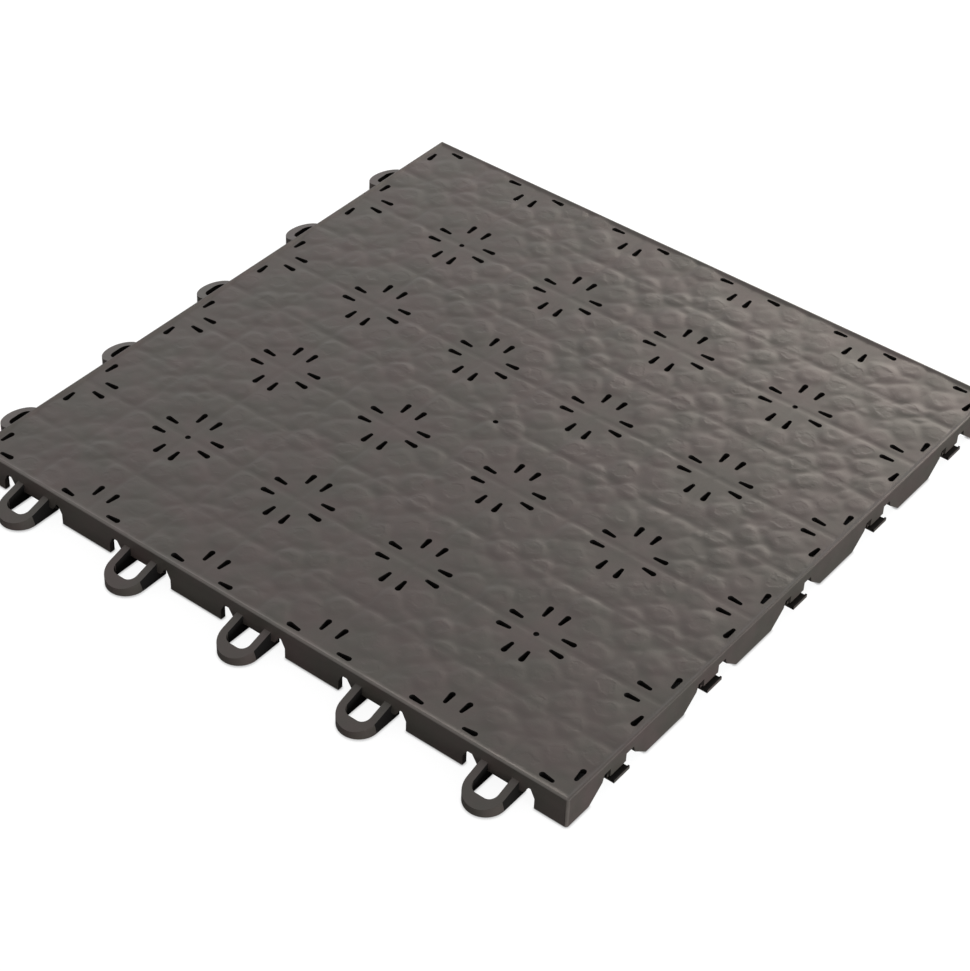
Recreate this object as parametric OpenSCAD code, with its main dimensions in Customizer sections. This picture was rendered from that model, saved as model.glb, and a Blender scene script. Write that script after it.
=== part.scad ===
// Interlocking sport court floor tile, moulded in one piece.
// A perforated deck stands on ribs, feet and a perimeter wall. Five loops reach out of the
// -X and -Y sides and five latches are set in the +X and +Y sides, one near each cell line.
// Origin: centre of the underside, on the floor. +Z is up, through the deck.

/* [Tile] */

// pitch from one tile to the next
module_size = 250; // [250:0.5:252]
// cells along one side
cells = 5; // [5]
// pitch of the cells and the slot groups
cell = 49.7; // [49:0.1:50]
// pitch of the loops and the latches along a side
joint_pitch = 49.3; // [49:0.1:50]
// offset of the loops and latches of the -Y and +Y sides, toward +X
joint_shift_x = 1; // [-1:0.1:1.2]
// offset of the loops and latches of the -X and +X sides, toward +Y
joint_shift_y = -0.8; // [-1:0.1:1.2]
// gap left between the walls of two joined tiles
joint_gap = 0.4; // [0.2:0.1:0.8]
// height from the floor to the deck
tile_h = 12; // [11.5:0.1:13]
// thickness of the deck plate
deck_t = 2.4; // [1.8:0.1:3]
// radius of the four upright corners
corner_r = 1; // [0.5:0.1:3]
// radius along the deck's outer edge
rim_r = 0.6; // [0.3:0.1:1.2]

/* [Walls] */

// thickness of the perimeter wall
wall_t = 2; // [1.6:0.1:2.2]
// clearance of the wall above the floor, for water to run out
wall_lift = 0.3; // [0.2:0.1:1]

/* [Drain slots] */

// distance of a slot's middle from the middle of its group
slot_ring_r = 10.85; // [10:0.05:11.5]
// angle of a slot's middle off the group's axis
slot_ring_angle = 17.8; // [16:0.1:20]
// angle of a slot's length off the group's axis
slot_splay = 3.6; // [0:0.1:6]
// full length of a slot
slot_len = 5.6; // [5:0.1:6.4]
// width at a slot's inner end
slot_w_in = 1.4; // [1:0.1:1.8]
// width at a slot's outer end
slot_w_out = 2.1; // [1.6:0.1:2.6]

/* [Deck dimples] */

// diameter of the five round dimples
dimple_d = 2; // [1.5:0.1:2.6]
// depth of the round dimples
dimple_depth = 1.4; // [0.8:0.1:1.8]

/* [Underside] */

// thickness of the ribs
rib_t = 1.6; // [1.2:0.1:2]
// clearance of the ribs above the floor
rib_lift = 2.6; // [1:0.1:4]
// depth of the ribs under the deck in the border, where a neighbour's loop comes in
border_rib_depth = 1.6; // [1:0.1:1.7]
// diameter of a foot
foot_d = 6; // [5:0.5:8]

/* [Loop sides] */

// width of the opening a loop stands in
loop_bay_w = 27.2; // [26:0.1:29]
// offset of that opening toward the -X or -Y end of its side
loop_bay_shift = 0.6; // [0:0.1:1.5]
// distance of the opening's top edge under the deck's top
loop_bay_drop = 4.5; // [4:0.1:4.8]
// width of the bevel in the opening's top corners
bay_bevel_w = 1.6; // [1:0.1:2.4]
// height of the bevel in the opening's top corners
bay_bevel_h = 3.2; // [2:0.1:4]
// width across a loop's two arms
loop_w = 14.4; // [14:0.1:14.8]
// width of the hole in a loop
loop_hole_w = 9.2; // [8.8:0.1:9.6]
// reach of a loop out of the wall
loop_reach = 14; // [13.4:0.1:14.4]
// reach of the hole in a loop out of the wall
loop_hole_reach = 9.6; // [9:0.1:10]
// how much less the loops of the -X side and their holes reach
loop_short_x = 1.3; // [0:0.1:1.5]
// corner radius inside the hole's outer end
loop_hole_r = 3; // [1.5:0.1:4]
// distance of a loop's top under the deck's top, at the wall
loop_drop_wall = 4.2; // [4:0.1:4.6]
// distance of a loop's top under the deck's top, at its tip
loop_drop_tip = 8.4; // [7.6:0.1:8.8]
// clearance of a loop above the floor
loop_lift = 0.7; // [0.4:0.1:1.4]
// how far a loop's arms run in behind the wall's outer face
loop_run_in = 4; // [2.5:0.1:5]
// distance of the root plate's lower edge under the deck's top
root_drop = 7.7; // [7.2:0.1:8]
// width of the root plate at its lower edge
root_w = 17.4; // [16:0.1:18]
// width of the root plate at its upper edge
root_w_top = 22; // [20:0.1:23]

/* [Latch sides] */

// width of the opening a latch hangs in, at the floor
latch_bay_w = 29.2; // [28:0.1:30]
// width of that opening above its slanted sides
latch_bay_w_mid = 16.6; // [16:0.1:18]
// width of that opening at its top edge
latch_bay_w_top = 15; // [14.6:0.1:16]
// distance of the slant's upper end under the deck's top
latch_bay_mid_drop = 6.6; // [6:0.1:7.6]
// distance of the opening's top edge under the deck's top
latch_bay_drop = 3.8; // [3.4:0.1:4]
// offset of that opening toward the +X or +Y end of its side
latch_bay_shift = 0.3; // [0:0.1:1]
// side clearance of a latch in a neighbour's loop
latch_side_play = 0.6; // [0.3:0.1:0.8]
// end clearance of a latch in a neighbour's loop
latch_end_play = 0.3; // [0.2:0.1:0.6]
// thickness of a latch's front plate
latch_front_t = 2.8; // [2.6:0.1:3.4]
// thickness of a latch's sides and back
latch_skin = 1.6; // [1.2:0.1:2]
// clearance of a latch above the floor
latch_lift = 2.8; // [2:0.1:3]
// reach of the hook past the wall's face
hook_reach = 1.5; // [0.9:0.1:1.6]
// height of the hook
hook_h = 1.3; // [1.1:0.1:1.5]
// thickness of the hook's lip and of its foot
hook_t = 0.6; // [0.5:0.1:0.7]
// depth of the notch behind the lip, measured from the wall's face
notch_depth = 1.2; // [0.8:0.1:1.6]
// height of that notch in the latch's front plate
notch_h = 1.6; // [1.3:0.1:2]

/* [Hidden] */

$fn = 96;

tile_w = module_size - joint_gap;
half_w = tile_w / 2;
half_inner = half_w - wall_t;
deck_under = tile_h - deck_t;
wall_h = tile_h - wall_lift;
last_line = (cells - 1) / 2;
last_group = cells / 2;
latch_w = loop_hole_w - 2 * latch_side_play;
latch_depth = loop_hole_reach - joint_gap - latch_end_play;
slot_r_in = slot_w_in / 2;
slot_r_out = slot_w_out / 2;
slot_span = slot_len - slot_r_in - slot_r_out;
slot_sin = (slot_r_out - slot_r_in) / slot_span;
slot_cos = sqrt(1 - slot_sin * slot_sin);
inner_line = cell * last_line;
// how far a joined part is sunk into its neighbour, and a cutter runs past a face
bite = 0.5;

court_black = [0.13, 0.125, 0.12];

// copies along the -Y or +Y side
module along_y_side() {
  for (i = [-last_line : last_line])
    translate([i * joint_pitch + joint_shift_x, 0, 0])
      children();
}

// copies turned over the diagonal, along the -X or +X side
module along_x_side() {
  multmatrix([[0, 1, 0, 0], [1, 0, 0, 0], [0, 0, 1, 0], [0, 0, 0, 1]])
    for (i = [-last_line : last_line])
      translate([i * joint_pitch + joint_shift_y, 0, 0])
        children();
}

// an outline in X and Z, given thickness from y0 to y1
module upright(y0, y1) {
  translate([0, y1, 0])
    rotate([90, 0, 0])
      linear_extrude(y1 - y0)
        children();
}

module rounded_square(half, r) {
  square([2 * half, 2 * (half - r)], center = true);
  square([2 * (half - r), 2 * half], center = true);
  for (x = [-1, 1], y = [-1, 1])
    translate([x * (half - r), y * (half - r)])
      circle(r);
}

// one drain slot along X, its middle at the origin and its wide end at +X
module slot_outline() {
  x_in = slot_r_in - slot_len / 2;
  x_out = slot_len / 2 - slot_r_out;
  translate([x_in, 0])
    circle(slot_r_in);
  translate([x_out, 0])
    circle(slot_r_out);
  polygon([
    [x_in - slot_r_in * slot_sin, slot_r_in * slot_cos],
    [x_in - slot_r_in * slot_sin, -slot_r_in * slot_cos],
    [x_out - slot_r_out * slot_sin, -slot_r_out * slot_cos],
    [x_out - slot_r_out * slot_sin, slot_r_out * slot_cos]
  ]);
}

// is a slot of the group at x, y, on the group's axis a, inside the tile
function slot_fits(x, y, a, s) =
  abs(x + slot_ring_r * cos(a + s * slot_ring_angle)) < half_inner
  && abs(y + slot_ring_r * sin(a + s * slot_ring_angle)) < half_inner;

// groups of eight slots at the cells' corners, cut to four or two along the tile's edge
module slots() {
  for (i = [-last_group : last_group], j = [-last_group : last_group])
    for (a = [0 : 90 : 270], s = [-1, 1])
      if (slot_fits(i * cell, j * cell, a, s))
        translate([i * cell, j * cell])
          rotate(a + s * slot_ring_angle)
            translate([slot_ring_r, 0])
              rotate(s * (slot_splay - slot_ring_angle))
                slot_outline();
}

module dimples() {
  for (p = [[0, 0], [-1, -1], [-1, 1], [1, -1], [1, 1]])
    translate([p[0] * cell * (last_line - 0.5), p[1] * cell * (last_line - 0.5), tile_h - dimple_depth])
      cylinder(d = dimple_d, h = dimple_depth + bite);
}

// what is cut off the deck's outer edge at -Y to round it
module rim_cut() {
  translate([-module_size, 0, 0])
    rotate([90, 0, 90])
      linear_extrude(2 * module_size)
        difference() {
          translate([-half_w - bite, tile_h - rim_r])
            square([rim_r + bite, rim_r + bite]);
          translate([rim_r - half_w, tile_h - rim_r])
            circle(rim_r);
        }
}

// the opening round one loop, on the -Y side
module loop_bay() {
  top = tile_h - loop_bay_drop;
  x0 = -loop_bay_w / 2 - loop_bay_shift;
  x1 = loop_bay_w / 2 - loop_bay_shift;
  upright(-half_w - bite, bite - half_inner)
    polygon([
      [x0, -bite],
      [x1, -bite],
      [x1, top - bay_bevel_h],
      [x1 - bay_bevel_w, top],
      [x0 + bay_bevel_w, top],
      [x0, top - bay_bevel_h]
    ]);
}

// the opening round one latch, on the +Y side
module latch_bay() {
  mid = tile_h - latch_bay_mid_drop;
  top = tile_h - latch_bay_drop;
  translate([latch_bay_shift, 0, 0])
    upright(half_inner - bite, half_w + bite)
      polygon([
        [-latch_bay_w / 2, -bite],
        [latch_bay_w / 2, -bite],
        [latch_bay_w / 2, wall_lift],
        [latch_bay_w_mid / 2, mid],
        [latch_bay_w_top / 2, top],
        [-latch_bay_w_top / 2, top],
        [-latch_bay_w_mid / 2, mid],
        [-latch_bay_w / 2, wall_lift]
      ]);
}

// deck and walls in one, with every cut-out
module shell() {
  difference() {
    translate([0, 0, wall_lift])
      linear_extrude(wall_h)
        rounded_square(half_w, corner_r);
    translate([-half_inner, -half_inner, -bite])
      cube([2 * half_inner, 2 * half_inner, deck_under + bite]);
    translate([0, 0, deck_under - bite])
      linear_extrude(deck_t + 2 * bite)
        slots();
    dimples();
    for (a = [0 : 90 : 270])
      rotate(a)
        rim_cut();
    along_y_side()
      loop_bay();
    along_x_side()
      loop_bay();
    along_y_side()
      latch_bay();
    along_x_side()
      latch_bay();
  }
}

// one loop on the -Y side, reaching less by short, with the plate it grows out of
module loop(short) {
  reach = loop_reach - short;
  hole_reach = loop_hole_reach - short;
  tip_r = loop_w / 2;
  hole_half = loop_hole_w / 2;
  wall_y = -half_w;
  top = tile_h - loop_drop_wall;
  tip_top = tile_h - loop_drop_tip;
  intersection() {
    translate([0, wall_y, loop_lift])
      linear_extrude(tile_h)
        difference() {
          union() {
            translate([-tip_r, tip_r - reach])
              square([2 * tip_r, reach - tip_r + loop_run_in]);
            translate([0, tip_r - reach])
              circle(tip_r);
          }
          translate([-hole_half, loop_hole_r - hole_reach])
            square([2 * hole_half, hole_reach - loop_hole_r + loop_run_in + bite]);
          translate([loop_hole_r - hole_half, -hole_reach])
            square([2 * (hole_half - loop_hole_r), loop_hole_r]);
          for (x = [-1, 1])
            translate([x * (hole_half - loop_hole_r), loop_hole_r - hole_reach])
              circle(loop_hole_r);
        }
    translate([-loop_w, 0, 0])
      rotate([90, 0, 90])
        linear_extrude(2 * loop_w)
          polygon([
            [wall_y + loop_run_in + bite, 0],
            [wall_y + loop_run_in + bite, deck_under + bite],
            [wall_y, deck_under + bite],
            [wall_y, top],
            [wall_y - reach, tip_top],
            [wall_y - reach - bite, tip_top],
            [wall_y - reach - bite, 0]
          ]);
  }
  upright(wall_y, -half_inner)
    polygon([
      [-root_w / 2, tile_h - root_drop],
      [root_w / 2, tile_h - root_drop],
      [root_w_top / 2, tile_h - loop_bay_drop + bite],
      [-root_w_top / 2, tile_h - loop_bay_drop + bite]
    ]);
}

// one latch on the +Y side for such a loop: a box open to the floor, with a hook at the foot of its front
module latch(short) {
  x0 = -latch_w / 2;
  depth = latch_depth - short;
  difference() {
    union() {
      translate([x0, half_w - depth, latch_lift])
        cube([latch_w, depth, deck_under + bite - latch_lift]);
      translate([x0, half_w - bite, latch_lift])
        cube([latch_w, hook_reach + bite, hook_h]);
    }
    translate([x0 + latch_skin, half_w - depth + latch_skin, 0])
      cube([latch_w - 2 * latch_skin, depth - latch_skin - latch_front_t, deck_under]);
    translate([x0 - bite, half_w - notch_depth, latch_lift + hook_t])
      cube([latch_w + 2 * bite, notch_depth + hook_reach - hook_t, notch_h]);
  }
}

// ribs on the half-cell lines, full depth inside the outer cell lines and shallow outside them
module ribs() {
  for (k = [-2 * last_line : 2 * last_line])
    for (turn = [0, 90])
      rotate(turn) {
        translate([k * cell / 2 - rib_t / 2, -inner_line, rib_lift])
          cube([rib_t, 2 * inner_line, deck_under + bite - rib_lift]);
        translate([k * cell / 2 - rib_t / 2, -half_inner - bite, deck_under - border_rib_depth])
          cube([rib_t, 2 * (half_inner + bite), border_rib_depth + bite]);
      }
}

module feet() {
  for (i = [-last_line : last_line], j = [-last_line : last_line])
    translate([i * cell, j * cell, 0])
      cylinder(d = foot_d, h = deck_under + bite);
}

module court_tile() {
  color(court_black)
    union() {
      shell();
      ribs();
      feet();
      along_y_side()
        loop(0);
      along_x_side()
        loop(loop_short_x);
      along_y_side()
        latch(0);
      along_x_side()
        latch(loop_short_x);
    }
}

court_tile();
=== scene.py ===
import math

import bmesh
import bpy
import numpy as np
from mathutils import Matrix, Vector


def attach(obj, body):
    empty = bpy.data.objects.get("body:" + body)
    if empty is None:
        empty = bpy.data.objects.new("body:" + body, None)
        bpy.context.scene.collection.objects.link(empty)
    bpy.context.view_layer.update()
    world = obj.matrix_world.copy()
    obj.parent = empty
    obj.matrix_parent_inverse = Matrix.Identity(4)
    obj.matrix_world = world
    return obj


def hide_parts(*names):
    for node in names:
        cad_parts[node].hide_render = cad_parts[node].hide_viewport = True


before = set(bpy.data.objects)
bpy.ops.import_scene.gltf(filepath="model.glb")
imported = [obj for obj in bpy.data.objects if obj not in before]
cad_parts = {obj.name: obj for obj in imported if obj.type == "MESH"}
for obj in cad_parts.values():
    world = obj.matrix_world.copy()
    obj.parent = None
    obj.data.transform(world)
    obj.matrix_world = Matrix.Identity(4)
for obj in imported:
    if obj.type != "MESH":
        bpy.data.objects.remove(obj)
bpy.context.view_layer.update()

MM = 0.001

# The tile's own sizes, in metres
CELL = 0.0497                 # pitch of the slot groups and of the relief
HALF_WIDTH = 0.1248           # from the middle to a wall's outer face
DECK_TOP = 0.012              # height of the deck over the floor
DECK_DEPTH = 0.0011           # how far down the deck's upper faces reach
EDGE_ROUND = 0.0006           # radius of the deck's rim
CORNER_ROUND = 0.001          # radius of the tile's four upright corners
JOINT_PITCH = 0.0493          # from loop to loop, and from latch to latch
JOINT_SHIFT_X = 1.0 * MM      # of the middle loop and latch on the Y sides
JOINT_SHIFT_Y = -0.8 * MM     # and on the X sides
LOOP_STRAIGHT = 0.0072        # reach of a loop's straight arms
LOOP_ROOT = 0.3 * MM          # a loop's own faces start this far past the wall
HOOK_TOP = 0.0052             # height of the notch over a latch's hook
HOOK_NOTCH = 0.0013           # depth of that notch
INNER_MARGIN = 2.5 * MM       # faces this far inside the walls' outer faces are painted near black, as painted shade
SHARP_ANGLE = 32.0            # edges sharper than this many degrees stay crisp
WELD = 1e-7                   # points nearer to each other than this are one point

# The relief moulded into the deck
STEPS_PER_HALF = 24           # steps of the relief's mesh in half a cell
RELIEF_BASE = 0.56 * MM       # how far the relief's ground lies under the deck's border
PAD_HEIGHT = 0.43 * MM        # height of a round pad over the ground
PAD_FOOT = 1.25               # a pad's slope ends this many radii from its middle
PAD_SLOPE = 0.9               # and is this many radii wide
PAD_HOLLOW = 0.18             # depth of the soft hollow in a pad's middle, as a part of its height
HOLLOW_REACH = 0.38           # reach of that hollow, in radii
PAD_GROWTH = (0.6, 1.2)       # each pad is this much of its listed height, from and to
DIMPLE_DEPTH = 0.075 * MM     # depth of the crisp round dimple in a pad's middle
DIMPLE_RADIUS = 0.58          # its radius in tenths of a cell, and
DIMPLE_EDGE = 0.20            # half the width of its edge
DIMPLED_FROM = 0.9            # pads of a larger radius than this have a dimple
SINK_DEPTH = 0.15 * MM        # depth of the sink line that each rib leaves in the deck
SINK_HALF = 0.9 * MM          # half the width of a sink line
ROLL_HEIGHT = 0.06 * MM       # height of the deck's slow unevenness
TOP_CLEAR = 0.01 * MM         # the relief stays this far under the deck's top
BORDER_FLAT = 0.5 * MM        # flat strip along the deck's edge
BORDER_RAMP = 1.6 * MM        # run from that strip down to the relief
BORDER_CLEAR = 0.06 * MM      # the cutter passes this far over the strip
CUTTER_RUN = 1.5 * MM         # how far the cutter reaches past the deck's edge
CUTTER_TOP = 4.0 * MM         # and over the deck
SLIVER = 0.002 * MM           # faces thinner than this are dissolved after the cut
SEED = 11

# Slow noise, as pairs of a strength and a pitch in metres
PAD_DRIFT = ((0.30, 0.009), (0.12, 0.004))    # how far the pads stray, in tenths of a cell
ROLL = ((0.6, 0.017), (0.4, 0.006))           # the unevenness, as parts of ROLL_HEIGHT
NOISE_SPAN = 0.30                             # width of the square that the noise covers

# The round pads of one cell, in tenths of a cell from the cell's corner node: x, y, radius, height.
# Each is repeated in the eight mirror images that share the node.
PADS = (
    (1.40, 0.00, 1.00, 1.15),
    (2.55, 0.85, 0.48, 0.55),
    (2.40, 2.40, 1.18, 1.00),
    (4.05, 1.12, 1.05, 0.95),
    (3.35, 3.35, 0.45, 0.35),
)

# The photograph's viewpoint
CAMERA_PLACE = (0.39909, -0.54034, 0.55676)
CAMERA_FORWARD = (-0.4540, 0.6095, -0.6499)
CAMERA_UP = (-0.4216, 0.4957, 0.7593)
CAMERA_LENS = 93.06

# Colours, in linear light
PLASTIC_WARM = (0.058, 0.0440, 0.0405, 1.0)
PLASTIC_COOL = (0.049, 0.0435, 0.0370, 1.0)
# Painted highlight: lighter colours for the deck's front rim and the four upright corners
EDGE_HIGHLIGHT_WARM = (0.090, 0.0750, 0.0680, 1.0)
EDGE_HIGHLIGHT_COOL = (0.078, 0.0700, 0.0620, 1.0)
# Painted shade: near black for the faces inside the walls, the loops' arm sides and hole ends, the
# hooks' tops and the floor under the tile
PAINTED_SHADE_BLACK = (0.006, 0.0052, 0.0048, 1.0)
FLOOR_WHITE = (0.92, 0.92, 0.92, 1.0)
FLOOR_GREY = (0.14, 0.14, 0.14, 1.0)
WHITE = (1.0, 1.0, 1.0, 1.0)

# The plastic's finish, with the scales of its noise in waves to the metre
PLASTIC_IOR = 1.49
PAINTED_SHADE_SPECULAR = 0.15        # how little the faces painted with shade mirror
SKIN_DEPTH = 0.05 * MM        # height of the moulded skin's bump
FINE_SCALE = 2600.0           # the skin's fine grain
RIPPLE_SCALE = 420.0          # its broader ripple
SPOT_SCALE = 95.0             # its glossier spots
TONE_SCALE = 60.0             # the drift between the warmer and the cooler tone
STREAK_SCALE = (25.0, 160.0, 160.0)           # the flow streaks, which run along X
WOBBLE_SCALE = 230.0          # the uneven outline of the dimples
WOBBLE_REACH = 0.13           # how far that outline strays in all, in cells
FILL_SCALE = 70.0             # where the dimples are nearly filled

# Light: the surround's strength, and each lamp's name, azimuth and elevation in degrees, distance,
# width and height in metres, power in watts and colour
SURROUND = 0.76
LAMPS = (
    ("back_light", 84.5, 25.0, 0.8, 0.88, 0.25, 3.7, (1.0, 0.90, 0.80)),
    ("left_light", 168.0, 12.0, 0.42, 1.1, 0.45, 0.68, (1.0, 0.96, 0.94)),
    ("right_light", -8.0, 8.0, 1.6, 0.9, 0.5, 25.0, (0.96, 1.0, 1.02)),
)

# The floor
FLOOR_HALF = 3.0              # half the floor's width
FLOOR_DROP = 0.05 * MM        # how far the floor lies under the tile's feet
PAINTED_SHADOW_REACH = 1.0 * MM       # width of the painted shadow at the foot of the walls
SHADE_RISE = 0.02 * MM        # how far the strips of painted shade lie over the floor
SHADE_EDGE = 0.3 * MM         # from a wall's outer face to the floor painted with shade, where no bay shows it
SHADE_GAP = 0.001             # and behind the walls with open bays in view
SHADE_REACH = 0.0085          # from there on the floor is painted with shade all over

# The strips of painted shade between the open bays of a side: the shift of its middle bay, how far
# before and after a bay's middle a strip ends and the next one starts, and their lean sideways for a
# step inward
STRIPS_FRONT = (JOINT_SHIFT_X, 15.2 * MM, 14.0 * MM, -0.744)
STRIPS_RIGHT = (JOINT_SHIFT_Y, 15.6 * MM, 15.6 * MM, 1.34)


# Relief of the deck

def smooth(t):
    """Eases a value from 0 to 1, level at both ends."""
    return t * t * (3.0 - 2.0 * t)


def pad_profile(distance, radius):
    """A low round pad with a shallow hollow in its middle, 0 beyond its foot."""
    pad = smooth(np.clip((PAD_FOOT * radius - distance) / (PAD_SLOPE * radius), 0.0, 1.0))
    hollow = np.exp(-(distance / (HOLLOW_REACH * radius)) ** 2)
    return pad - PAD_HOLLOW * hollow


def pad_places():
    """Every pad of one cell, with its mirror images: x, y, radius, height."""
    places = set()
    for x, y, radius, height in PADS:
        for a, b in ((x, y), (y, x)):
            for sx in (-1, 1):
                for sy in (-1, 1):
                    places.add((sx * a + 0.0, sy * b + 0.0, radius, height))
    return sorted(places)


def slow_noise(x, y, pitch, rng):
    """Smooth random heights from -1 to 1, on a lattice of that pitch."""
    count = int(NOISE_SPAN / pitch) + 3
    lattice = rng.uniform(-1.0, 1.0, (count, count))
    u, v = (x + NOISE_SPAN / 2) / pitch, (y + NOISE_SPAN / 2) / pitch
    i, j = np.floor(u).astype(int), np.floor(v).astype(int)
    a, b = smooth(u - i), smooth(v - j)
    low = lattice[i, j] * (1 - a) + lattice[i + 1, j] * a
    high = lattice[i, j + 1] * (1 - a) + lattice[i + 1, j + 1] * a
    return low * (1 - b) + high * b


def add_noise(start, layers, x, y, rng):
    """The start with each layer of slow noise added to it."""
    for strength, pitch in layers:
        start = start + strength * slow_noise(x, y, pitch, rng)
    return start


def relief(x, y):
    """Height of the deck's surface at x, y, with the border strip left uncut."""
    rng = np.random.default_rng(SEED)
    u, v = (add_noise(10.0 * w / CELL, PAD_DRIFT, x, y, rng) for w in (x, y))
    pads = np.zeros_like(x)
    for cx, cy, radius, height in pad_places():
        i = np.floor((u - cx + 5.0) / 10.0)
        j = np.floor((v - cy + 5.0) / 10.0)
        own = rng.uniform(*PAD_GROWTH, (9, 9))[i.astype(int) + 4, j.astype(int) + 4]
        reach = np.hypot(u - cx - 10.0 * i, v - cy - 10.0 * j)
        pads = np.maximum(pads, height * own * pad_profile(reach, radius))
    sinks = np.zeros_like(x)
    for w in (x, y):
        off = np.abs(w / (CELL / 2) - np.round(w / (CELL / 2))) * CELL / 2
        sinks = np.maximum(sinks, np.exp(-(off / SINK_HALF) ** 2))
    roll = add_noise(0.0, ROLL, x, y, rng)
    ground = DECK_TOP - RELIEF_BASE + PAD_HEIGHT * pads - SINK_DEPTH * sinks + ROLL_HEIGHT * roll
    ground = np.minimum(ground, DECK_TOP - TOP_CLEAR)
    edge = HALF_WIDTH - np.maximum(np.abs(x), np.abs(y))
    inward = smooth(np.clip((edge - BORDER_FLAT) / BORDER_RAMP, 0.0, 1.0))
    return ground * inward + (DECK_TOP + BORDER_CLEAR) * (1 - inward)


# The moulding

def linked(name, data):
    """A new object with that data, in the scene."""
    thing = bpy.data.objects.new(name, data)
    bpy.context.scene.collection.objects.link(thing)
    return thing


def relief_cutter():
    """A closed block over the deck whose lower face is the relief."""
    step = CELL / 2 / STEPS_PER_HALF
    count = int((HALF_WIDTH - BORDER_FLAT - BORDER_RAMP) / step)
    ramp = HALF_WIDTH - BORDER_FLAT - np.array((0.8, 0.5, 0.2, 0.0)) * BORDER_RAMP
    side = np.concatenate([np.arange(1, count + 1) * step, ramp, [HALF_WIDTH + CUTTER_RUN]])
    line = np.concatenate([-side[::-1], [0.0], side])
    n = len(line) - 1
    x, y = np.meshgrid(line, line, indexing="ij")
    verts = np.stack([x.ravel(), y.ravel(), relief(x, y).ravel()], 1).tolist()
    faces = []
    for i in range(n):
        for j in range(n):
            a, b = i * (n + 1) + j, (i + 1) * (n + 1) + j
            faces.append((a, a + 1, b + 1))
            faces.append((a, b + 1, b))
    rim = [i * (n + 1) for i in range(n)]
    rim += [n * (n + 1) + j for j in range(n)]
    rim += [i * (n + 1) + n for i in range(n, 0, -1)]
    rim += [j for j in range(n, 0, -1)]
    first = len(verts)
    for k in rim:
        verts.append([verts[k][0], verts[k][1], DECK_TOP + CUTTER_TOP])
    middle = len(verts)
    verts.append([0.0, 0.0, DECK_TOP + CUTTER_TOP])
    for k in range(len(rim)):
        m = (k + 1) % len(rim)
        faces.append((rim[k], rim[m], first + m, first + k))
        faces.append((first + k, first + m, middle))
    mesh = bpy.data.meshes.new("relief_cutter")
    mesh.from_pydata(verts, [], faces)
    return linked("relief_cutter", mesh)


def welded_copy(node, name):
    """A copy of a CAD solid with its doubled points joined."""
    mesh = node.data.copy()
    mesh.name = name
    mesh.materials.clear()
    bm = bmesh.new()
    bm.from_mesh(mesh)
    bmesh.ops.remove_doubles(bm, verts=bm.verts, dist=WELD)
    bm.to_mesh(mesh)
    bm.free()
    if "custom_normal" in mesh.attributes:
        mesh.attributes.remove(mesh.attributes["custom_normal"])
    return linked(name, mesh)


def cut(piece, cutter):
    """Takes the cutter away from the piece, clears slivers and drops the cutter."""
    modifier = piece.modifiers.new("cut", "BOOLEAN")
    modifier.operation = "DIFFERENCE"
    modifier.solver = "MANIFOLD"
    modifier.object = cutter
    bpy.context.view_layer.update()
    cut_piece = piece.evaluated_get(bpy.context.evaluated_depsgraph_get())
    result = bpy.data.meshes.new_from_object(cut_piece)
    bm = bmesh.new()
    bm.from_mesh(result)
    bmesh.ops.dissolve_degenerate(bm, dist=SLIVER, edges=bm.edges)
    bmesh.ops.triangulate(bm, faces=[f for f in bm.faces if len(f.verts) > 3])
    bm.to_mesh(result)
    bm.free()
    piece.modifiers.clear()
    piece.data = result
    bpy.data.objects.remove(cutter)


def shade_softly(piece, angle):
    """Smooth shading that keeps every edge sharper than the angle."""
    mesh = piece.data
    mesh.polygons.foreach_set("use_smooth", [True] * len(mesh.polygons))
    mesh.set_sharp_from_angle(angle=math.radians(angle))


# The kinds of face, in the order of their materials
ON_DECK, OUTSIDE, IN_PAINTED_SHADE, PAINTED_HIGHLIGHT_EDGE = range(4)


def face_kind(middle, normal):
    """What kind of face has that middle and normal."""
    # The front rim and the upright corners get the lighter colours of a painted highlight.
    front_rim = (middle.z > DECK_TOP - EDGE_ROUND and -middle.y > HALF_WIDTH - EDGE_ROUND
                 and 0.15 < normal.z < 0.985)
    corner = (min(abs(middle.x), abs(middle.y)) > HALF_WIDTH - CORNER_ROUND
              and min(abs(normal.x), abs(normal.y)) > 0.2)
    if front_rim or corner:
        return PAINTED_HIGHLIGHT_EDGE
    if normal.z > 0.5 and middle.z > DECK_TOP - DECK_DEPTH:
        return ON_DECK
    # Faces inside the walls, the loops' arm sides and hole ends and the hooks' tops get painted shade.
    if max(abs(middle.x), abs(middle.y)) < HALF_WIDTH - INNER_MARGIN:
        return IN_PAINTED_SHADE
    for out, outward, along in ((middle.x, normal.x, normal.y), (middle.y, normal.y, normal.x)):
        past = -HALF_WIDTH - out
        arm_side = 0.0 < past < LOOP_STRAIGHT and along > 0.8
        hole_end = past > LOOP_ROOT and outward > 0.3
        hook_top = (out > HALF_WIDTH - HOOK_NOTCH and middle.z < HOOK_TOP
                    and (normal.z > 0.5 or along < -0.8))
        if arm_side or hole_end or hook_top:
            return IN_PAINTED_SHADE
    return OUTSIDE


def dress_faces(piece, materials):
    """Gives each face the material of its kind."""
    mesh = piece.data
    mesh.materials.clear()
    for material in materials:
        mesh.materials.append(material)
    for face in mesh.polygons:
        face.material_index = face_kind(face.center, face.normal)


# Node groups

def new_group(name, inputs, outputs):
    group = bpy.data.node_groups.new(name, "ShaderNodeTree")
    for label, kind, value in inputs:
        socket = group.interface.new_socket(name=label, in_out="INPUT", socket_type=kind)
        socket.default_value = value
    for label, kind in outputs:
        group.interface.new_socket(name=label, in_out="OUTPUT", socket_type=kind)
    start = group.nodes.new("NodeGroupInput")
    end = group.nodes.new("NodeGroupOutput")
    return group, start, end


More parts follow.
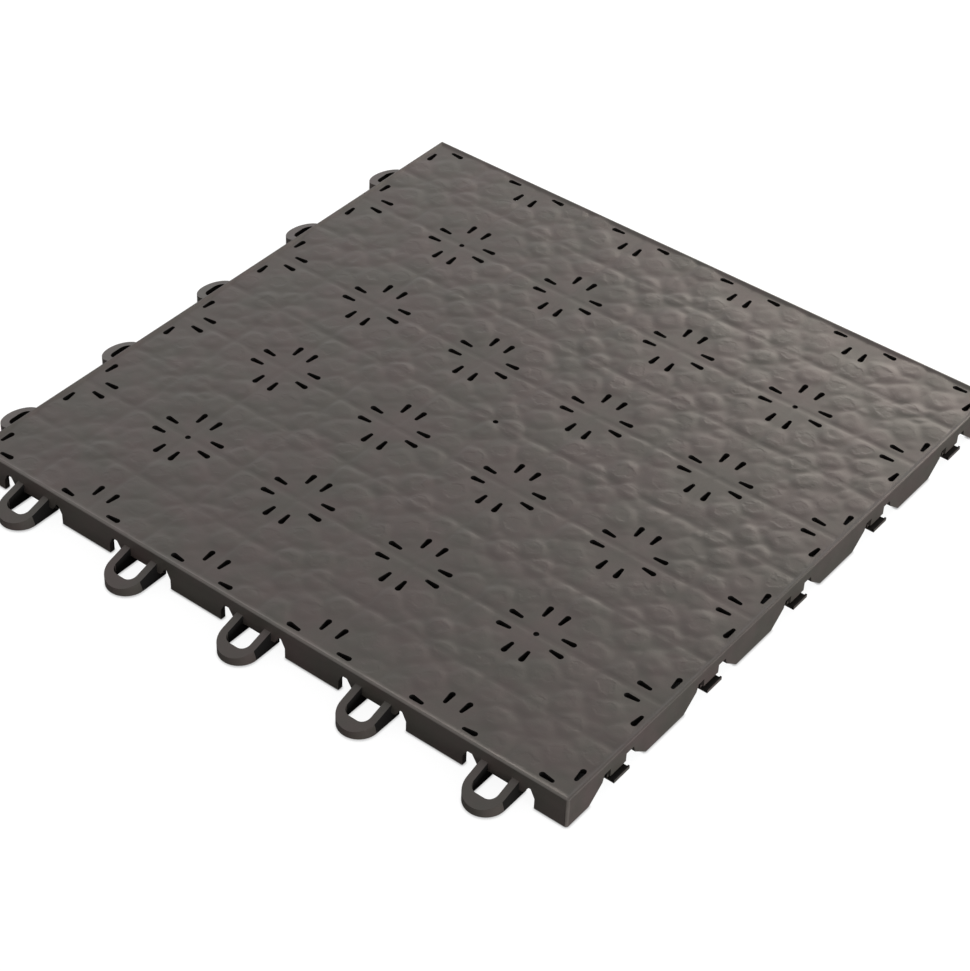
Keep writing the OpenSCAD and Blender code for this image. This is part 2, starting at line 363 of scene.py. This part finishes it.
def own_place(tree):
    """The object's own coordinates."""
    return tree.nodes.new("ShaderNodeTexCoord").outputs["Object"]


def noise(tree, place, scale, detail=2.0, roughness=0.5, output="Fac"):
    """A noise texture over those coordinates."""
    node = tree.nodes.new("ShaderNodeTexNoise")
    node.inputs["Scale"].default_value = scale
    node.inputs["Detail"].default_value = detail
    node.inputs["Roughness"].default_value = roughness
    tree.links.new(place, node.inputs["Vector"])
    return node.outputs[output]


def math_node(tree, kind, a, b):
    node = tree.nodes.new("ShaderNodeMath")
    node.operation = kind
    for socket, value in zip(node.inputs, (a, b)):
        if isinstance(value, (int, float)):
            socket.default_value = value
        else:
            tree.links.new(value, socket)
    return node.outputs["Value"]


def vector_node(tree, kind, a, b=None, scale=None):
    node = tree.nodes.new("ShaderNodeVectorMath")
    node.operation = kind
    tree.links.new(a, node.inputs[0])
    if isinstance(b, tuple):
        node.inputs[1].default_value = b
    elif b is not None:
        tree.links.new(b, node.inputs[1])
    if scale is not None:
        node.inputs["Scale"].default_value = scale
    return node.outputs["Value" if kind == "DISTANCE" else "Vector"]


def remap(tree, value, low, high, to_low, to_high):
    node = tree.nodes.new("ShaderNodeMapRange")
    node.inputs["From Min"].default_value = low
    node.inputs["From Max"].default_value = high
    node.inputs["To Min"].default_value = to_low
    node.inputs["To Max"].default_value = to_high
    tree.links.new(value, node.inputs["Value"])
    return node.outputs["Result"]


def moulded_skin_group():
    """The fine skin of moulded plastic: a height, and a mask of its glossier spots."""
    group, start, end = new_group(
        "moulded_skin",
        (("Fine", "NodeSocketFloat", 1.0), ("Ripple", "NodeSocketFloat", 1.0)),
        (("Height", "NodeSocketFloat"), ("Gloss Spots", "NodeSocketFloat")))
    place = own_place(group)
    fine = noise(group, place, FINE_SCALE, 3.0, 0.6)
    ripple = noise(group, place, RIPPLE_SCALE)
    total = math_node(group, "ADD",
                      math_node(group, "MULTIPLY", fine, start.outputs["Fine"]),
                      math_node(group, "MULTIPLY", ripple, start.outputs["Ripple"]))
    group.links.new(total, end.inputs["Height"])
    spots = noise(group, place, SPOT_SCALE, 3.0, 0.55)
    group.links.new(remap(group, spots, 0.35, 0.7, 0.0, 1.0), end.inputs["Gloss Spots"])
    return group


def folded_cell(group, place):
    """The place inside its cell, folded into the eighth that holds PADS, in tenths of a cell."""
    half = (0.5, 0.5, 0.5)
    wobble = vector_node(group, "SUBTRACT", noise(group, place, WOBBLE_SCALE, output="Color"), half)
    cells = vector_node(group, "SCALE", place, scale=1.0 / CELL)
    cells = vector_node(group, "ADD", cells, vector_node(group, "SCALE", wobble, scale=WOBBLE_REACH))
    within = vector_node(group, "FRACTION", vector_node(group, "ADD", cells, half))
    folded = vector_node(group, "ABSOLUTE", vector_node(group, "SUBTRACT", within, half))
    parts = group.nodes.new("ShaderNodeSeparateXYZ")
    group.links.new(vector_node(group, "SCALE", folded, scale=10.0), parts.inputs["Vector"])
    eighth = group.nodes.new("ShaderNodeCombineXYZ")
    for kind, side in (("MAXIMUM", "X"), ("MINIMUM", "Y")):
        value = math_node(group, kind, parts.outputs["X"], parts.outputs["Y"])
        group.links.new(value, eighth.inputs[side])
    return eighth.outputs["Vector"]


def pad_dimples_group():
    """The crisp dimple in the middle of each pad: a height that is 0 in a dimple and 1 outside."""
    group, start, end = new_group(
        "pad_dimples",
        (("Radius", "NodeSocketFloat", DIMPLE_RADIUS), ("Edge", "NodeSocketFloat", DIMPLE_EDGE)),
        (("Height", "NodeSocketFloat"),))
    place = own_place(group)
    eighth = folded_cell(group, place)
    near = None
    for x, y, radius, _ in PADS:
        if radius > DIMPLED_FROM:
            away = vector_node(group, "DISTANCE", eighth, (max(x, y), min(x, y), 0.0))
            near = away if near is None else math_node(group, "MINIMUM", near, away)
    edge = group.nodes.new("ShaderNodeMapRange")
    edge.interpolation_type = "SMOOTHSTEP"
    group.links.new(near, edge.inputs["Value"])
    for kind, end_of_edge in (("SUBTRACT", "From Min"), ("ADD", "From Max")):
        value = math_node(group, kind, start.outputs["Radius"], start.outputs["Edge"])
        group.links.new(value, edge.inputs[end_of_edge])
    depth = remap(group, noise(group, place, FILL_SCALE, 1.0), 0.35, 0.65, 0.25, 1.15)
    group.links.new(math_node(group, "MULTIPLY", edge.outputs["Result"], depth), end.inputs["Height"])
    return group


def plastic_tone_group():
    """Black plastic that drifts between a warmer and a cooler tone, with faint flow streaks."""
    group, start, end = new_group(
        "plastic_tone",
        (("Warm", "NodeSocketColor", PLASTIC_WARM), ("Cool", "NodeSocketColor", PLASTIC_COOL)),
        (("Color", "NodeSocketColor"),))
    place = own_place(group)
    drift = noise(group, place, TONE_SCALE, 3.0, 0.6)
    mix = group.nodes.new("ShaderNodeMix")
    mix.data_type = "RGBA"
    group.links.new(remap(group, drift, 0.38, 0.62, 0.0, 1.0), mix.inputs["Factor"])
    group.links.new(start.outputs["Cool"], mix.inputs[6])
    group.links.new(start.outputs["Warm"], mix.inputs[7])
    stretch = group.nodes.new("ShaderNodeMapping")
    stretch.inputs["Scale"].default_value = STREAK_SCALE
    group.links.new(place, stretch.inputs["Vector"])
    streak = noise(group, stretch.outputs["Vector"], 1.0)
    shade = group.nodes.new("ShaderNodeHueSaturation")
    group.links.new(remap(group, streak, 0.3, 0.7, 0.93, 1.07), shade.inputs["Value"])
    group.links.new(mix.outputs[2], shade.inputs["Color"])
    group.links.new(shade.outputs["Color"], end.inputs["Color"])
    return group


# Materials

def group_node(tree, group, **values):
    node = tree.nodes.new("ShaderNodeGroup")
    node.node_tree = group
    for label, value in values.items():
        node.inputs[label].default_value = value
    return node


def moulded_plastic(name, skin, tone, roughness, gloss, fine, ripple, bump_strength,
                    colours=None, dimples=None):
    """Plastic with the moulded skin, between a roughness and that of its glossier spots."""
    material = bpy.data.materials.new(name)
    material.use_nodes = True
    tree = material.node_tree
    shader = tree.nodes["Principled BSDF"]
    shader.inputs["IOR"].default_value = PLASTIC_IOR
    surface = group_node(tree, skin, Fine=fine, Ripple=ripple)
    colour = group_node(tree, tone)
    if colours:
        colour.inputs["Warm"].default_value, colour.inputs["Cool"].default_value = colours
    tree.links.new(colour.outputs["Color"], shader.inputs["Base Color"])
    rough = remap(tree, surface.outputs["Gloss Spots"], 0.0, 1.0, roughness, gloss)
    tree.links.new(rough, shader.inputs["Roughness"])
    bump = tree.nodes.new("ShaderNodeBump")
    bump.inputs["Strength"].default_value = bump_strength
    bump.inputs["Distance"].default_value = SKIN_DEPTH
    height = surface.outputs["Height"]
    if dimples:
        deep = group_node(tree, dimples).outputs["Height"]
        deep = math_node(tree, "MULTIPLY", deep, DIMPLE_DEPTH / (SKIN_DEPTH * bump_strength))
        height = math_node(tree, "ADD", height, deep)
    tree.links.new(height, bump.inputs["Height"])
    tree.links.new(bump.outputs["Normal"], shader.inputs["Normal"])
    return material


def studio_floor_material():
    """A floor that shows white, with a painted shadow from ambient occlusion at the foot of the walls
    over its grey part's real shadow, but throws little light back up.
    """
    material = bpy.data.materials.new("studio_floor")
    material.use_nodes = True
    tree = material.node_tree
    tree.nodes.clear()
    out = tree.nodes.new("ShaderNodeOutputMaterial")
    grey = tree.nodes.new("ShaderNodeBsdfDiffuse")
    grey.inputs["Color"].default_value = FLOOR_GREY
    # The white seen by the camera is darkened by ambient occlusion near the tile: a painted shadow.
    shade = tree.nodes.new("ShaderNodeAmbientOcclusion")
    shade.samples = 8
    shade.inputs["Distance"].default_value = PAINTED_SHADOW_REACH
    shade.inputs["Color"].default_value = FLOOR_WHITE
    shown = tree.nodes.new("ShaderNodeEmission")
    tree.links.new(shade.outputs["Color"], shown.inputs["Color"])
    both = tree.nodes.new("ShaderNodeAddShader")
    tree.links.new(grey.outputs["BSDF"], both.inputs[0])
    tree.links.new(shown.outputs["Emission"], both.inputs[1])
    ray = tree.nodes.new("ShaderNodeLightPath")
    seen = math_node(tree, "MAXIMUM", ray.outputs["Is Camera Ray"], ray.outputs["Is Transmission Ray"])
    pick = tree.nodes.new("ShaderNodeMixShader")
    tree.links.new(seen, pick.inputs["Fac"])
    tree.links.new(grey.outputs["BSDF"], pick.inputs[1])
    tree.links.new(both.outputs["Shader"], pick.inputs[2])
    tree.links.new(pick.outputs["Shader"], out.inputs["Surface"])
    return material


def painted_shade_floor_material():
    """The floor under the tile, painted near black as painted shade."""
    material = bpy.data.materials.new("floor_in_painted_shade")
    material.use_nodes = True
    shader = material.node_tree.nodes["Principled BSDF"]
    shader.inputs["Base Color"].default_value = PAINTED_SHADE_BLACK
    shader.inputs["Roughness"].default_value = 0.9
    return material


# The studio

def set_camera():
    forward = Vector(CAMERA_FORWARD).normalized()
    right = forward.cross(Vector(CAMERA_UP)).normalized()
    up = right.cross(forward)
    turn = Matrix((right, up, -forward)).transposed().to_4x4()
    data = bpy.data.cameras.new("camera")
    data.lens = CAMERA_LENS
    data.sensor_width = 36.0
    data.sensor_fit = "AUTO"
    data.clip_start = 0.01
    data.clip_end = 20.0
    camera = linked("camera", data)
    camera.matrix_world = Matrix.Translation(CAMERA_PLACE) @ turn
    bpy.context.scene.camera = camera


def set_world(strength):
    """An even white surround, at full strength only where it is seen."""
    world = bpy.data.worlds.new("studio")
    bpy.context.scene.world = world
    world.use_nodes = True
    tree = world.node_tree
    tree.nodes.clear()
    out = tree.nodes.new("ShaderNodeOutputWorld")
    back = tree.nodes.new("ShaderNodeBackground")
    back.inputs["Color"].default_value = WHITE
    ray = tree.nodes.new("ShaderNodeLightPath")
    seen = remap(tree, ray.outputs["Is Camera Ray"], 0.0, 1.0, strength, 1.0)
    tree.links.new(seen, back.inputs["Strength"])
    tree.links.new(back.outputs["Background"], out.inputs["Surface"])


def soft_lamp(name, azimuth, elevation, distance, width, height, power, colour):
    """A flat lamp facing the tile from a compass angle, 0 along +X and 90 along +Y."""
    a, e = math.radians(azimuth), math.radians(elevation)
    place = Vector((math.cos(a) * math.cos(e), math.sin(a) * math.cos(e), math.sin(e))) * distance
    data = bpy.data.lights.new(name, "AREA")
    data.shape = "RECTANGLE"
    data.size = width
    data.size_y = height
    data.energy = power
    data.color = colour
    lamp = linked(name, data)
    lamp.location = place
    lamp.rotation_euler = (-place).to_track_quat("-Z", "Y").to_euler()


def painted_shade_strips(shift, before, after, lean):
    """Strips of painted shade on the floor behind a side's wall between its bays: along the wall, and
    out from the middle.
    """
    far = HALF_WIDTH - SHADE_EDGE
    middles = [shift + k * JOINT_PITCH for k in range(-2, 3)]
    starts = [-far] + [m + after for m in middles]
    ends = [m - before for m in middles] + [far]
    for start, end in zip(starts, ends):
        yield [(min(max(along + lean * deep, -far), far), HALF_WIDTH - deep)
               for along, deep in ((start, SHADE_GAP), (end, SHADE_GAP),
                                   (end, SHADE_REACH), (start, SHADE_REACH))]


def make_floor():
    """A white floor with painted shade under the tile, but not where an open bay shows it."""
    near, far = HALF_WIDTH - SHADE_REACH, HALF_WIDTH - SHADE_EDGE
    corners = [(x, y, 0.0) for x in (-FLOOR_HALF, -far, near, FLOOR_HALF)
               for y in (-FLOOR_HALF, -near, far, FLOOR_HALF)]
    faces = [(4 * i + j, 4 * i + j + 4, 4 * i + j + 5, 4 * i + j + 1)
             for i in range(3) for j in range(3)]
    under_tile, first_strip = 4, 9
    strips = [[(along, -out, SHADE_RISE) for along, out in strip]
              for strip in painted_shade_strips(*STRIPS_FRONT)]
    strips += [[(out, along, SHADE_RISE) for along, out in strip]
               for strip in painted_shade_strips(*STRIPS_RIGHT)]
    for strip in strips:
        faces.append(tuple(range(len(corners), len(corners) + 4)))
        corners += strip
    mesh = bpy.data.meshes.new("floor")
    mesh.from_pydata(corners, [], faces)
    mesh.materials.append(studio_floor_material())
    mesh.materials.append(painted_shade_floor_material())
    for face in mesh.polygons:
        face.material_index = 1 if face.index == under_tile or face.index >= first_strip else 0
    floor = linked("floor", mesh)
    floor.location.z = -FLOOR_DROP


# The tile

def make_tile():
    tile = welded_copy(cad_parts["court_tile"], "court_tile_moulding")
    cut(tile, relief_cutter())
    shade_softly(tile, SHARP_ANGLE)
    skin, tone, dimples = moulded_skin_group(), plastic_tone_group(), pad_dimples_group()
    deck = moulded_plastic("deck_plastic", skin, tone, roughness=0.46, gloss=0.38,
                           fine=0.6, ripple=1.0, bump_strength=0.5, dimples=dimples)
    sides = moulded_plastic("side_plastic", skin, tone, roughness=0.44, gloss=0.36,
                            fine=1.0, ripple=0.6, bump_strength=0.4)
    # Near black with little mirroring: painted shade.
    inner = moulded_plastic("painted_shade_plastic", skin, tone, roughness=0.7, gloss=0.6,
                            fine=1.0, ripple=0.6, bump_strength=0.4,
                            colours=(PAINTED_SHADE_BLACK, PAINTED_SHADE_BLACK))
    inner.node_tree.nodes["Principled BSDF"].inputs["Specular IOR Level"].default_value = PAINTED_SHADE_SPECULAR
    # Lighter colours: a painted highlight on the front rim and the upright corners.
    edge = moulded_plastic("edge_highlight_plastic", skin, tone, roughness=0.40, gloss=0.34,
                           fine=1.0, ripple=0.6, bump_strength=0.4,
                           colours=(EDGE_HIGHLIGHT_WARM, EDGE_HIGHLIGHT_COOL))
    dress_faces(tile, (deck, sides, inner, edge))
    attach(tile, "root")
    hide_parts("court_tile")


def main():
    set_camera()
    set_world(SURROUND)
    for lamp in LAMPS:
        soft_lamp(*lamp)
    make_floor()
    make_tile()
    bpy.context.scene.view_settings.view_transform = "Standard"


main()
